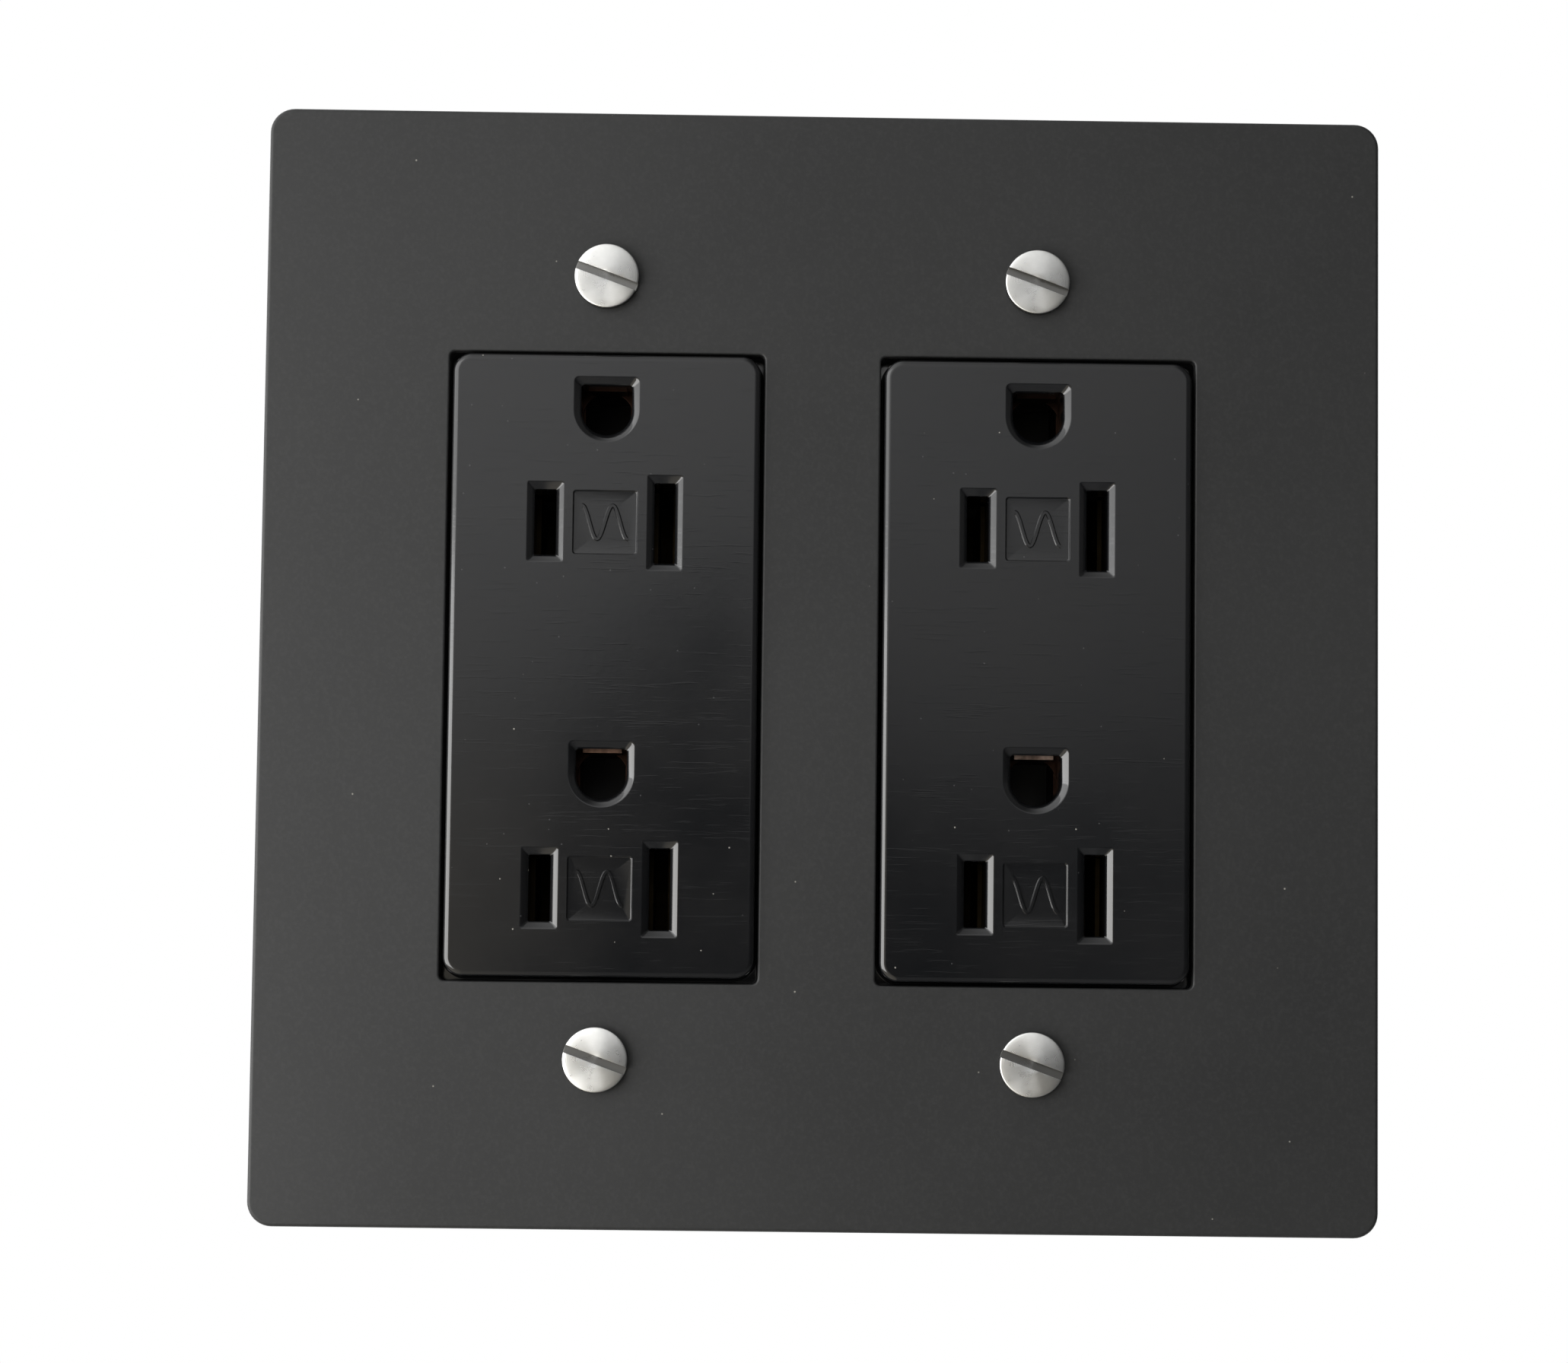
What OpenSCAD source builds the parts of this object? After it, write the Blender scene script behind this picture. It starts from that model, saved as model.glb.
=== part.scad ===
// Two-gang wall outlet: a square metal plate over two duplex receptacles.
// Origin at the centre of the four box screws, on the wall plane y = 0.
// X runs to the right, Z up, and the front of the outlet faces -Y.

/* [Wall plate] */
// Width and height of the square plate
plate_size = 119; // [117:0.5:124]
// How far the plate's front stands out from the wall
plate_depth = 6; // [5.6:0.1:7]
// Thickness of the plate's front wall and rim
plate_wall = 1.6; // [1:0.1:2]
// Corner radius of the plate
plate_corner_r = 2.6; // [1:0.1:5]
// Width of each rectangular opening
opening_w = 33.6; // [33.4:0.05:33.8]
// Height of each rectangular opening
opening_h = 67.05; // [66.8:0.05:67.4]
// Corner radius of each opening
opening_corner_r = 0.5; // [0.2:0.1:1]
// Sideways play of the plate on its screws
plate_shift = 0.2; // [-0.25:0.05:0.25]

/* [Gangs] */
// Distance between the two gangs' centres
gang_pitch = 46.04; // [45.8:0.01:46.3]
// Distance between a gang's upper and lower box screw
screw_pitch = 83.34; // [83:0.01:83.6]

/* [Receptacle] */
// Width of the face cover
face_w = 32.8; // [32.5:0.05:32.9]
// Height of the face cover
face_h = 66.25; // [66:0.05:66.4]
// Corner radius of the face cover
face_corner_r = 1.9; // [1:0.1:2.5]
// How far the face stands out from the plate
face_proud = 0.8; // [0.4:0.1:1.5]
// Thickness of the cover's front wall
front_wall = 2.2; // [1.8:0.1:2.4]
// Thickness of the cover's side walls
side_wall = 1.6; // [1.2:0.1:1.8]
// How far the cover's shoulder reaches out behind the plate
shoulder_out = 2; // [1.2:0.1:2.4]
// Thickness of the cover's shoulder
shoulder_t = 1.6; // [1:0.1:2]
// Width of the rear body
body_w = 28.4; // [28:0.1:29]
// Height of the rear body
body_h = 66; // [65:0.1:66.3]
// Depth of the rear body behind the strap
body_d = 23; // [21:0.5:28]
// Corner radius of the rear body
body_corner_r = 1.2; // [0.5:0.1:2]

/* [Sockets] */
// Distance between the hot and neutral slots' centres
blade_pitch = 12.7; // [12.5:0.05:12.9]
// Height of the upper blades' centre above the face's centre
upper_blade_z = 15.1; // [14.9:0.05:15.3]
// Distance between the two sockets
socket_pitch = 38.9; // [38.7:0.05:39.1]
// Height of a ground hole's centre above its blades' centre
ground_rise = 12.1; // [11.9:0.05:12.3]
// Width of the hot slot
hot_slot_w = 2.3; // [2:0.05:2.4]
// Height of the hot slot
hot_slot_h = 7; // [6.6:0.1:7.2]
// Width of the neutral slot
neutral_slot_w = 2.2; // [2:0.05:2.4]
// Height of the neutral slot
neutral_slot_h = 8.6; // [8:0.1:8.8]
// Radius of the ground hole's round lower half
ground_hole_r = 2.7; // [2.6:0.05:2.8]
// Height of the ground hole's flat top above its centre
ground_hole_top = 2.7; // [2.6:0.05:2.8]
// Width of the bevel round each hole
bevel = 0.7; // [0.4:0.05:0.8]
// Side of the sunken square panel between the slots
mark_size = 6.8; // [6:0.1:7]
// Depth of the sunken square panel
mark_depth = 0.2; // [0.1:0.05:0.3]

/* [Strap] */
// Thickness of the mounting strap
strap_t = 1.3; // [1:0.1:1.4]
// Width of the strap between its ears
strap_w = 20; // [19.6:0.1:20.4]
// Length of the strap over its ears
strap_l = 104.8; // [104:0.1:106]
// Width of the strap at its break-off ears
ear_w = 33; // [31:0.5:34]
// Height of each break-off ear
ear_h = 9.4; // [8.6:0.1:10]
// Corner radius of the ears
ear_r = 2; // [1:0.1:3]
// Distance between the tapped holes for a single-gang plate
tapped_pitch = 96.8; // [96:0.05:97]
// Radius of the tapped holes
tapped_r = 1.45; // [1.35:0.05:1.5]
// Width across a box screw's slot
slot_w = 4.1; // [4:0.05:4.2]
// Length of a box screw's slot, sideways
slot_l = 7; // [6.4:0.1:7.4]

/* [Screws] */
// Radius of a box screw's head
head_r = 3.45; // [3.2:0.05:3.8]
// Height of a box screw's head
head_h = 1.3; // [1:0.1:1.6]
// Radius of a box screw's thread
box_screw_r = 1.75; // [1.7:0.01:1.78]
// Radius of a box screw's plain neck, between its head and the wall plane
neck_r = 1.45; // [1.4:0.01:1.55]
// Length of a box screw under its head
box_screw_l = 31.75; // [25:0.05:38]
// Width of the screwdriver slot
driver_slot_w = 1; // [0.8:0.05:1.2]
// Depth of the screwdriver slot
driver_slot_d = 0.8; // [0.5:0.05:0.9]
// Turn of the screwdriver slots from level
driver_slot_turn = 20; // [0:1:90]

/* [Terminals] */
// Distance between the two terminals on one side
terminal_pitch = 20; // [19.8:0.1:20.2]
// Depth of the terminals' centres behind the strap
terminal_y = 9; // [8.8:0.1:9.2]
// Radius of a terminal screw's head
terminal_head_r = 3.9; // [3.5:0.05:4]
// Height of a terminal screw's head
terminal_head_h = 2.2; // [1.8:0.1:2.4]
// Radius of a terminal screw's thread
terminal_screw_r = 2.08; // [2:0.01:2.1]
// Length of a terminal screw under its head
terminal_screw_l = 6; // [5.5:0.1:6.2]
// Thickness of a terminal's clamp plate
clamp_t = 1.2; // [1:0.05:1.4]
// Side of a terminal's clamp plate
clamp_size = 8.2; // [7.8:0.1:8.4]

/* [Hidden] */
SIDES = ["left", "right"];
DEVICE_PARTS = [
    "face_cover", "rear_body", "mounting_strap",
    "hot_contact_strip", "neutral_contact_strip", "ground_contact_strip",
    "ground_rivets", "assembly_screws",
    "hot_clamp_upper", "hot_clamp_lower", "neutral_clamp_upper", "neutral_clamp_lower", "ground_clamp",
    "hot_screw_upper", "hot_screw_lower", "neutral_screw_upper", "neutral_screw_lower", "ground_screw"
];
PLATE_PARTS = [
    "wall_plate", "box_screw_upper_left", "box_screw_upper_right", "box_screw_lower_left",
    "box_screw_lower_right"
];
$fn = 48;

// Colours
PLATE_GREY = "#3d3f40";
MOULDED_BLACK = "#232427";
BODY_BLACK = "#2b2c30";
ZINC = "#b9bcc0";
STEEL = "#c2c3c4";
BRASS = "#c9a24a";
COPPER = "#b8713f";
SILVER = "#c9cbce";
GREEN = "#2f8f4e";

// Depths along Y
eps = 0.01;
margin = 1;
fit = 0.05;
plate_y = -plate_depth;
face_y = plate_y - face_proud;
strap_y = -strap_t;
// Each receptacle's play in its strap slots, sideways and upwards
device_play = [[0.2, 0.12], [0.2, 0]];

// Sockets
blade_zs = [upper_blade_z, upper_blade_z - socket_pitch];
ground_zs = [for (z = blade_zs) z + ground_rise];
terminal_mid_z = (blade_zs[0] + blade_zs[1]) / 2;
terminal_zs = [terminal_mid_z + terminal_pitch / 2, terminal_mid_z - terminal_pitch / 2];
tower_wall = 1.2;
ground_tower_r = 4.9;
finger_room = 0.4;

// Contacts
blade_t = 1.5;
leaf_t = 0.6;
leaf_y = 2;
leaf_web_y = 12.8;
bus_x = 9.2;
bus_t = 1;
bus_front_y = 4.6;
bus_back_y = leaf_web_y + leaf_t;
bus_gap = 3;
tab_leg = 1.4;
tab_out = 2.2;
tab_y = [7, 11];
strip_w = 7.2;
strip_t = 0.8;
strip_end = 5;
finger_w = 4.2;
finger_top = 2.42;
finger_front_y = -3.4;
finger_back_y = 7;
grip_x = 2.45;
grip_h = 4.8;
grip_back_y = 10;
pin_hole_r = 2.75;

// Strap details
ground_window_r = 3.9;
blade_window = [4.9, 7.8];
blade_window_h = 10;
ear_slit_w = 0.8;
ear_slit_end = 1.2;
tab_z = 37.3;
tab_h = 6.6;
tab_depth = 9.5;
ground_terminal_y = 5.2;
ground_head_r = 3.4;
ground_clamp_size = 6.8;

// Turns of the screwdriver slots from level
hot_screw_turns = [65, 10];
neutral_screw_turns = [40, 80];
ground_screw_turn = 30;
assembly_screw_turn = 45;
clamp_corner_r = 1;

// Rear body details
chamber_x = [4.6, 10.4];
chamber_h = 9.4;
chamber_d = 15;
bus_slot_x = 9;
bus_slot_y = [4.4, 13.8];
recess_x = bus_x + bus_t;
recess_h = 9.2;
recess_y = [3.6, 14.4];
tab_window_h = 8.2;
tab_window_y = [6, 12];
shank_room_r = 2.4;
shank_room_x = 4.9;
pin_pocket = [6.8, 7.4, 16];
strip_channel = [7.8, 1];
wire_hole_r = 1.2;
wire_hole_x = 11.7;
wire_hole_dz = 3;

// Assembly screws and rivets
assembly_x = 11.9;
assembly_z = 30;
assembly_r = 1.2;
assembly_head_r = 2.4;
assembly_head_h = 1.8;
assembly_head_y = 20.5;
assembly_tip_y = -5;
boss_r = 2.4;
rivet_zs = [6, -20.5];
rivet_r = 1.2;
rivet_head_r = 2;
rivet_head_h = 0.6;

// ---------- shared shapes ----------

// A 2-D outline in X and Z, made solid from depth y0 to depth y1
module slab(y0, y1) {
    translate([0, y1, 0]) rotate([90, 0, 0]) linear_extrude(y1 - y0) children();
}

// A 2-D outline in Y and Z, made solid from x0 to x1
module sidewall(x0, x1) {
    translate([x0, 0, 0]) rotate([90, 0, 90]) linear_extrude(x1 - x0) children();
}

// A box between two corners
module block(low, high) {
    translate(low) cube(high - low);
}

// A box from x0 to x1 and y0 to y1, centred on height z
module bar(xs, ys, z, h) {
    block([xs[0], ys[0], z - h / 2], [xs[1], ys[1], z + h / 2]);
}

module rounded_rect(w, h, r) {
    square([w - 2 * r, h], center = true);
    square([w, h - 2 * r], center = true);
    for (x = [-1, 1], z = [-1, 1])
        translate([x * (w / 2 - r), z * (h / 2 - r)]) circle(r);
}

// A cylinder along Y from depth y0 to depth y1
module rod_y(r, y0, y1) {
    translate([0, y1, 0]) rotate([90, 0, 0]) cylinder(r = r, h = y1 - y0);
}

// A cylinder along X from x0 to x1
module rod_x(r, x0, x1) {
    translate([x0, 0, 0]) rotate([0, 90, 0]) cylinder(r = r, h = x1 - x0);
}

module at_gang(i) {
    x = (i == 0 ? -1 : 1) * gang_pitch / 2 + device_play[i][0];
    translate([x, 0, device_play[i][1]]) children();
}

// Shapes are drawn for the neutral side, +X, and mirrored for the hot side
module on_side(side) {
    if (side == "hot") mirror([1, 0, 0]) children();
    else children();
}

// A slotted screw with its head's underside at the origin and its shank along -Z
module slotted_screw(r, length, cap_r, cap_h, turn) {
    translate([0, 0, -length]) cylinder(r = r, h = length + eps);
    difference() {
        cylinder(r = cap_r, h = cap_h);
        translate([0, 0, cap_h]) rotate([0, 0, turn])
            cube([3 * cap_r, driver_slot_w, 2 * driver_slot_d], center = true);
    }
}

// ---------- wall plate and its screws ----------

module wall_plate() {
    color(PLATE_GREY) difference() {
        translate([plate_shift, 0, 0]) difference() {
            slab(plate_y, 0) rounded_rect(plate_size, plate_size, plate_corner_r);
            slab(plate_y + plate_wall, eps)
                rounded_rect(plate_size - 2 * plate_wall, plate_size - 2 * plate_wall, plate_wall);
            for (x = [-1, 1])
                translate([x * gang_pitch / 2, 0, 0]) slab(plate_y - eps, eps)
                    rounded_rect(opening_w, opening_h, opening_corner_r);
        }
        for (x = [-1, 1], z = [-1, 1])
            translate([x * gang_pitch / 2, 0, z * screw_pitch / 2])
                rod_y(box_screw_r + abs(plate_shift) + 2 * fit, plate_y - eps, 0);
    }
}

module box_screw(x, z) {
    color(STEEL) translate([x * gang_pitch / 2, plate_y, z * screw_pitch / 2]) rotate([90, 0, 0]) {
        slotted_screw(neck_r, plate_depth, head_r, head_h, -driver_slot_turn);
        translate([0, 0, -box_screw_l]) cylinder(r = box_screw_r, h = box_screw_l - plate_depth);
    }
}

// ---------- face cover ----------

// A prism that narrows from the front outline to the slot's outline over the bevel's depth
module slot_mouth(w, h) {
    intersection() {
        translate([0, 0, -h]) linear_extrude(2 * h) polygon([
            [-w / 2 - bevel, face_y], [w / 2 + bevel, face_y],
            [w / 2, face_y + bevel], [-w / 2, face_y + bevel]
        ]);
        rotate([90, 0, 90]) translate([0, 0, -h]) linear_extrude(2 * h) polygon([
            [face_y, -h / 2 - bevel], [face_y, h / 2 + bevel],
            [face_y + bevel, h / 2], [face_y + bevel, -h / 2]
        ]);
    }
}

module blade_slot(w, h) {
    slot_mouth(w, h);
    bar([-w / 2, w / 2], [face_y - eps, strap_y + eps], 0, h);
}

// Round below its centre, and flat on top
module ground_outline() {
    circle(ground_hole_r);
    translate([-ground_hole_r, 0]) square([2 * ground_hole_r, ground_hole_top]);
}

// The bevel round the ground hole: a cone below, and flat sides and top above
module ground_mouth() {
    top = ground_hole_top;
    r = ground_hole_r;
    difference() {
        translate([0, face_y, 0]) rotate([-90, 0, 0]) cylinder(r1 = r + bevel, r2 = r, h = bevel);
        block([-2 * r, face_y - margin, 0], [2 * r, face_y + 2 * bevel, 2 * r]);
    }
    intersection() {
        linear_extrude(2 * r) polygon([
            [-r - bevel, face_y], [r + bevel, face_y], [r, face_y + bevel], [-r, face_y + bevel]
        ]);
        rotate([90, 0, 90]) translate([0, 0, -2 * r]) linear_extrude(4 * r) polygon([
            [face_y, -eps], [face_y, top + bevel], [face_y + bevel, top], [face_y + bevel, -eps]
        ]);
    }
}

module square_mark() {
    slab(face_y - eps, face_y + mark_depth) square(mark_size, center = true);
}

// Walls that guide the plug's pins from the front wall to the strap
module guide_towers() {
    slab(face_y + front_wall - eps, strap_y) {
        for (z = blade_zs) {
            translate([-blade_pitch / 2, z])
                square([hot_slot_w + 2 * tower_wall, hot_slot_h + 2 * tower_wall], center = true);
            translate([blade_pitch / 2, z])
                square([neutral_slot_w + 2 * tower_wall, neutral_slot_h + 2 * tower_wall], center = true);
        }
        for (z = ground_zs) translate([0, z]) circle(ground_tower_r);
        for (x = [-1, 1], z = [-1, 1]) translate([x * assembly_x, z * assembly_z]) circle(boss_r);
    }
}

module face_cover() {
    inner_w = face_w - 2 * side_wall;
    inner_h = face_h - 2 * side_wall;
    color(MOULDED_BLACK) difference() {
        union() {
            slab(face_y, strap_y) rounded_rect(face_w, face_h, face_corner_r);
            slab(strap_y - shoulder_t, strap_y)
                rounded_rect(face_w + 2 * shoulder_out, face_h + 2 * shoulder_out, face_corner_r);
        }
        difference() {
            slab(face_y + front_wall, strap_y + eps) square([inner_w, inner_h], center = true);
            guide_towers();
        }
        for (z = blade_zs) translate([0, 0, z]) {
            translate([-blade_pitch / 2, 0, 0]) blade_slot(hot_slot_w, hot_slot_h);
            translate([blade_pitch / 2, 0, 0]) blade_slot(neutral_slot_w, neutral_slot_h);
            square_mark();
        }
        for (z = ground_zs) translate([0, 0, z]) {
            ground_mouth();
            slab(face_y - eps, strap_y + eps) ground_outline();
            // Room for the ground contact's front finger
            bar([-finger_w / 2 - finger_room, finger_w / 2 + finger_room],
                [finger_front_y - finger_room, strap_y + eps], finger_top, 2 * (leaf_t + finger_room));
        }
        for (x = [-1, 1], z = [-1, 1]) translate([x * assembly_x, 0, z * assembly_z])
            rod_y(assembly_r + fit, assembly_tip_y - fit, strap_y + eps);
    }
}

// ---------- mounting strap ----------

module strap_outline() {
    difference() {
        union() {
            square([strap_w, strap_l - 2 * ear_r], center = true);
            for (z = [-1, 1]) translate([0, z * (strap_l - ear_h) / 2])
                rounded_rect(ear_w, ear_h, ear_r);
        }
        for (z = [-1, 1]) {
            translate([0, z * screw_pitch / 2]) rounded_rect(slot_l, slot_w, slot_w / 2 - eps);
            translate([0, z * tapped_pitch / 2]) circle(tapped_r);
            for (x = [-1, 1]) translate([x * (strap_w + ear_slit_w) / 2, z * (strap_l - ear_h) / 2])
                square([ear_slit_w, ear_h - 2 * ear_slit_end], center = true);
        }
        for (z = blade_zs, x = [-1, 1])
            translate([x * (blade_window[0] + blade_window[1]) / 2, z])
                square([blade_window[1] - blade_window[0], blade_window_h], center = true);
        for (z = ground_zs) translate([0, z]) circle(ground_window_r);
        for (z = rivet_zs) translate([0, z]) circle(rivet_r + fit);
    }
}

module mounting_strap() {
    color(ZINC) difference() {
        union() {
            slab(strap_y, 0) strap_outline();
            // Ground tab, bent back from the strap's edge
            bar([strap_w / 2 - strap_t, strap_w / 2], [strap_y, tab_depth], tab_z, tab_h);
        }
        translate([0, ground_terminal_y, tab_z])
            rod_x(terminal_screw_r + fit, strap_w / 2 - 2 * strap_t, strap_w / 2 + margin);
    }
}

// ---------- rear body ----------

module side_pockets() {
    for (z = blade_zs) bar(chamber_x, [-eps, chamber_d], z, chamber_h);
    block([bus_slot_x, bus_slot_y[0], blade_zs[1] - chamber_h / 2],
          [chamber_x[1], bus_slot_y[1], blade_zs[0] + chamber_h / 2]);
    bar([recess_x, body_w], tab_window_y, terminal_mid_z, tab_window_h);
    for (z = terminal_zs) {
        bar([recess_x, body_w], recess_y, z, recess_h);
        translate([0, terminal_y, z]) rod_x(shank_room_r, shank_room_x, bus_slot_x + margin);
        for (dz = [-1, 1]) translate([wire_hole_x, 0, z + dz * wire_hole_dz])
            rod_y(wire_hole_r, recess_y[1] - margin, body_d + margin);
    }
}

module rear_body() {
    color(BODY_BLACK) difference() {
        union() {
            slab(0, body_d) rounded_rect(body_w, body_h, body_corner_r);
            // Ledges that fill the strap's thickness beside it
            for (side = ["hot", "neutral"]) on_side(side)
                block([strap_w / 2 + 2 * fit, strap_y, -body_h / 2 + body_corner_r],
                      [body_w / 2, eps, body_h / 2 - body_corner_r]);
        }
        for (side = ["hot", "neutral"]) on_side(side) side_pockets();
        block([-strip_channel[0] / 2, -eps, rivet_zs[1] - strip_end],
              [strip_channel[0] / 2, strip_channel[1], ground_zs[0] + strip_end]);
        for (z = ground_zs)
            bar([-pin_pocket[0] / 2, pin_pocket[0] / 2], [-eps, pin_pocket[2]], z, pin_pocket[1]);
        for (z = rivet_zs) translate([0, 0, z])
            rod_y(rivet_head_r + 2 * fit, 0, strip_t + rivet_head_h + 2 * fit);
        for (x = [-1, 1], z = [-1, 1]) translate([x * assembly_x, 0, z * assembly_z]) {
            rod_y(assembly_r + fit, strap_y - eps, body_d);
            rod_y(assembly_head_r + 2 * fit, assembly_head_y, body_d + eps);
        }
    }
}

// ---------- contacts ----------

module contact_strip(leaf_h) {
    color(BRASS) {
        difference() {
            for (s = [0, 1]) {
                end_z = blade_zs[s] + (s == 0 ? 1 : -1) * leaf_h / 2;
                mid_z = terminal_mid_z + (s == 0 ? 1 : -1) * bus_gap / 2;
                block([bus_x, bus_front_y, min(end_z, mid_z)],
                      [bus_x + bus_t, bus_back_y, max(end_z, mid_z)]);
            }
            for (z = terminal_zs) translate([0, terminal_y, z])
                rod_x(terminal_screw_r + fit, bus_x - margin, bus_x + bus_t + margin);
        }
        for (z = blade_zs) {
            inner = blade_pitch / 2 - blade_t / 2;
            outer = blade_pitch / 2 + blade_t / 2;
            bar([inner - leaf_t, inner], [leaf_y, bus_back_y], z, leaf_h);
            bar([outer, outer + leaf_t], [leaf_y, bus_back_y], z, leaf_h);
            bar([inner - leaf_t, bus_x + eps], [leaf_web_y, bus_back_y], z, leaf_h);
        }
        // Break-off tab that joins the two halves outside the body
        tab_x = bus_x + bus_t + tab_out;
        for (z = [-1, 1])
            bar([bus_x, tab_x], tab_y, terminal_mid_z + z * (bus_gap + tab_leg) / 2, tab_leg);
        bar([tab_x - bus_t, tab_x], tab_y, terminal_mid_z, bus_gap + 2 * tab_leg);
    }
}

module ground_contact_strip() {
    low = rivet_zs[1] - strip_end + 2 * fit;
    high = ground_zs[0] + strip_end - 2 * fit;
    color(COPPER) {
        slab(0, strip_t) difference() {
            translate([-strip_w / 2, low]) square([strip_w, high - low]);
            for (z = ground_zs) translate([0, z]) circle(pin_hole_r);
            for (z = rivet_zs) translate([0, z]) circle(rivet_r + fit);
        }
        for (z = ground_zs) {
            for (x = [-1, 1])
                bar([x * (grip_x + leaf_t / 2) - leaf_t / 2, x * (grip_x + leaf_t / 2) + leaf_t / 2],
                    [strip_t - leaf_t / 2, grip_back_y], z, grip_h);
            bar([-finger_w / 2, finger_w / 2], [finger_front_y, finger_back_y],
                z + finger_top + leaf_t / 2, leaf_t);
        }
    }
}

module ground_rivets() {
    color(BRASS) for (z = rivet_zs) translate([0, 0, z]) {
        rod_y(rivet_r, strap_y - eps, strip_t + eps);
        rod_y(rivet_head_r, strap_y - rivet_head_h, strap_y);
        rod_y(rivet_head_r, strip_t, strip_t + rivet_head_h);
    }
}

module assembly_screws() {
    color(ZINC) for (x = [-1, 1], z = [-1, 1])
        translate([x * assembly_x, assembly_head_y, z * assembly_z]) rotate([-90, 0, 0])
            slotted_screw(assembly_r, assembly_head_y - assembly_tip_y, assembly_head_r, assembly_head_h,
                assembly_screw_turn);
}

// ---------- terminals ----------

module clamp_plate(x, y, z, size) {
    translate([0, y, z]) sidewall(x, x + clamp_t) difference() {
        rounded_rect(size, size, clamp_corner_r);
        circle(terminal_screw_r + fit);
    }
}

module terminal_screw(x, y, z, cap_r, turn) {
    translate([x + clamp_t, y, z]) rotate([0, 90, 0])
        slotted_screw(terminal_screw_r, terminal_screw_l, cap_r, terminal_head_h, turn);
}

module side_clamp(side, level) {
    color(ZINC) on_side(side) clamp_plate(recess_x, terminal_y, terminal_zs[level], clamp_size);
}

module side_screw(side, level) {
    turn = (side == "hot" ? hot_screw_turns : neutral_screw_turns)[level];
    color(side == "hot" ? BRASS : SILVER) on_side(side)
        terminal_screw(recess_x, terminal_y, terminal_zs[level], terminal_head_r, turn);
}

module ground_clamp() {
    color(ZINC) clamp_plate(strap_w / 2, ground_terminal_y, tab_z, ground_clamp_size);
}

module ground_screw() {
    color(GREEN) terminal_screw(strap_w / 2, ground_terminal_y, tab_z, ground_head_r, ground_screw_turn);
}

// ---------- the nodes ----------

wall_plate();
box_screw(-1, 1);  // box_screw_upper_left
box_screw(1, 1);  // box_screw_upper_right
box_screw(-1, -1);  // box_screw_lower_left
box_screw(1, -1);  // box_screw_lower_right

for (i = [0, 1]) at_gang(i) {
    side = SIDES[i];
    face_cover();
    rear_body();
    mounting_strap();
    on_side("hot") contact_strip(hot_slot_h);
    contact_strip(neutral_slot_h);
    ground_contact_strip();
    ground_rivets();
    assembly_screws();
    side_clamp("hot", 0);
    side_clamp("hot", 1);
    side_clamp("neutral", 0);
    side_clamp("neutral", 1);
    ground_clamp();
    side_screw("hot", 0);
    side_screw("hot", 1);
    side_screw("neutral", 0);
    side_screw("neutral", 1);
    ground_screw();
}
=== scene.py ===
"""Looks of the two-gang duplex wall outlet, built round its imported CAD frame.

Metres, +Z up, front towards -Y."""
import math

import bmesh
import bpy
from mathutils import Matrix, Vector


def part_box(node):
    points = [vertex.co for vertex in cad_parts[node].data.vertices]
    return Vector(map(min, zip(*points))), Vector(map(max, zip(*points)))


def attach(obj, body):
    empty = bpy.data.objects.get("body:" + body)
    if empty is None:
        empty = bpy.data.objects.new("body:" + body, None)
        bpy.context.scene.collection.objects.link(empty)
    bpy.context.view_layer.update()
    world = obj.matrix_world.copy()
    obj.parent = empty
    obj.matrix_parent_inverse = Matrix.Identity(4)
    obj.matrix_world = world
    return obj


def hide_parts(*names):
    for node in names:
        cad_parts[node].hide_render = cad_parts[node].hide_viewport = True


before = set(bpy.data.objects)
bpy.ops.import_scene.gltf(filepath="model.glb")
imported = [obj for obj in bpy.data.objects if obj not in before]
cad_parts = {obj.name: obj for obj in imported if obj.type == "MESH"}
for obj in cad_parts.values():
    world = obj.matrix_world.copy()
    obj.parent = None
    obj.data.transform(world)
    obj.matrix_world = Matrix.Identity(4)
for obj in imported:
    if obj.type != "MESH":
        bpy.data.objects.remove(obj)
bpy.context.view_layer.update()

MM = 0.001
SIDES = ("left", "right")
HEIGHTS = ("upper", "lower")

# Wall plate
PLATE_WALL = 1.6 * MM
PLATE_CORNER = 2.6 * MM
PLATE_EDGE = 0.35 * MM
OPENING_W = 33.6 * MM
OPENING_H = 67.05 * MM
OPENING_CORNER = 0.6 * MM
OPENING_EDGE = 0.22 * MM
SCREW_HOLE_R = 2.05 * MM
GANG_PITCH = 46.04 * MM
CHAMFER = 0.1 * MM

# Face cover and its holes
SHOULDER_OUT = 2.0 * MM
SHOULDER_T = 1.6 * MM
FACE_CORNER = 2.0 * MM
FACE_EDGE = 0.62 * MM
BLADE_PITCH = 12.7 * MM
UPPER_BLADE_Z = 15.1 * MM
SOCKET_PITCH = 38.9 * MM
GROUND_RISE = 12.1 * MM
HOT_SLOT = (2.3 * MM, 7.0 * MM)
NEUTRAL_SLOT = (2.2 * MM, 8.6 * MM)
GROUND_R = 2.7 * MM
GROUND_TOP = 2.7 * MM
BEVEL = 0.78 * MM
BEVEL_DEPTH = 0.62 * MM
BEVEL_CURVE = 1.3
BEVEL_STEPS = 8
HOLE_CORNER = 0.12 * MM
# How much a blade slot's corners round out with its bevel, where 1 is the bevel's full width
SLOT_ROUNDING = 0.15
GROUND_CORNER = 0.3 * MM
SOFT = 0.06 * MM
FLAT_STRIP = 0.08 * MM
PANEL = 6.8 * MM
PANEL_DEPTH = 0.2 * MM
PANEL_CORNER = 0.3 * MM
WAVE_LENGTH = 4.9 * MM
WAVE_HEIGHT = 3.6 * MM
WAVE_TURNS = 1.5
WAVE_LINE = 0.34 * MM

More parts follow.
